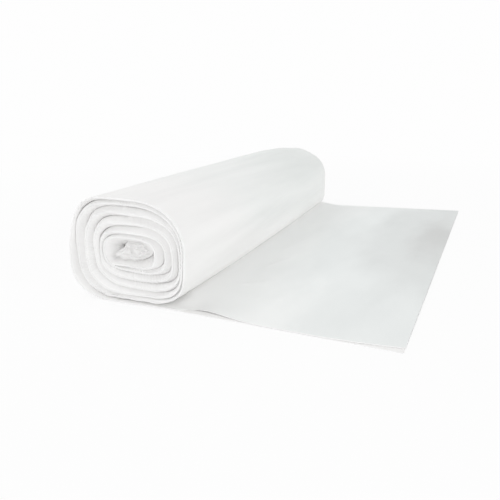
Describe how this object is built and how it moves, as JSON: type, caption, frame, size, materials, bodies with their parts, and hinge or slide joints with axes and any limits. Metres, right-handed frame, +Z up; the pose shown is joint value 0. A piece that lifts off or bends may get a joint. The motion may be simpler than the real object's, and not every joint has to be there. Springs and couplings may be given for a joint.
{
  "type": "bin bag roll",
  "caption": "Coreless roll of thin white film bin bags, slightly flattened, with the outermost bag unrolled flat beside it.",
  "frame": {"origin": "on the resting face, under the middle of the roll, half way along its length", "axes": "+Y along the roll from its near end to its far end, +X towards the unrolled bag, +Z up"},
  "size_m": [0.1644, 0.263, 0.0501],
  "materials": {
    "white_film": "soft satin white polythene film, faintly see-through at single leaves, with fine lengthwise creases"
  },
  "bodies": {
    "root": {"bag_roll": "white_film"}
  },
  "joints": []
}
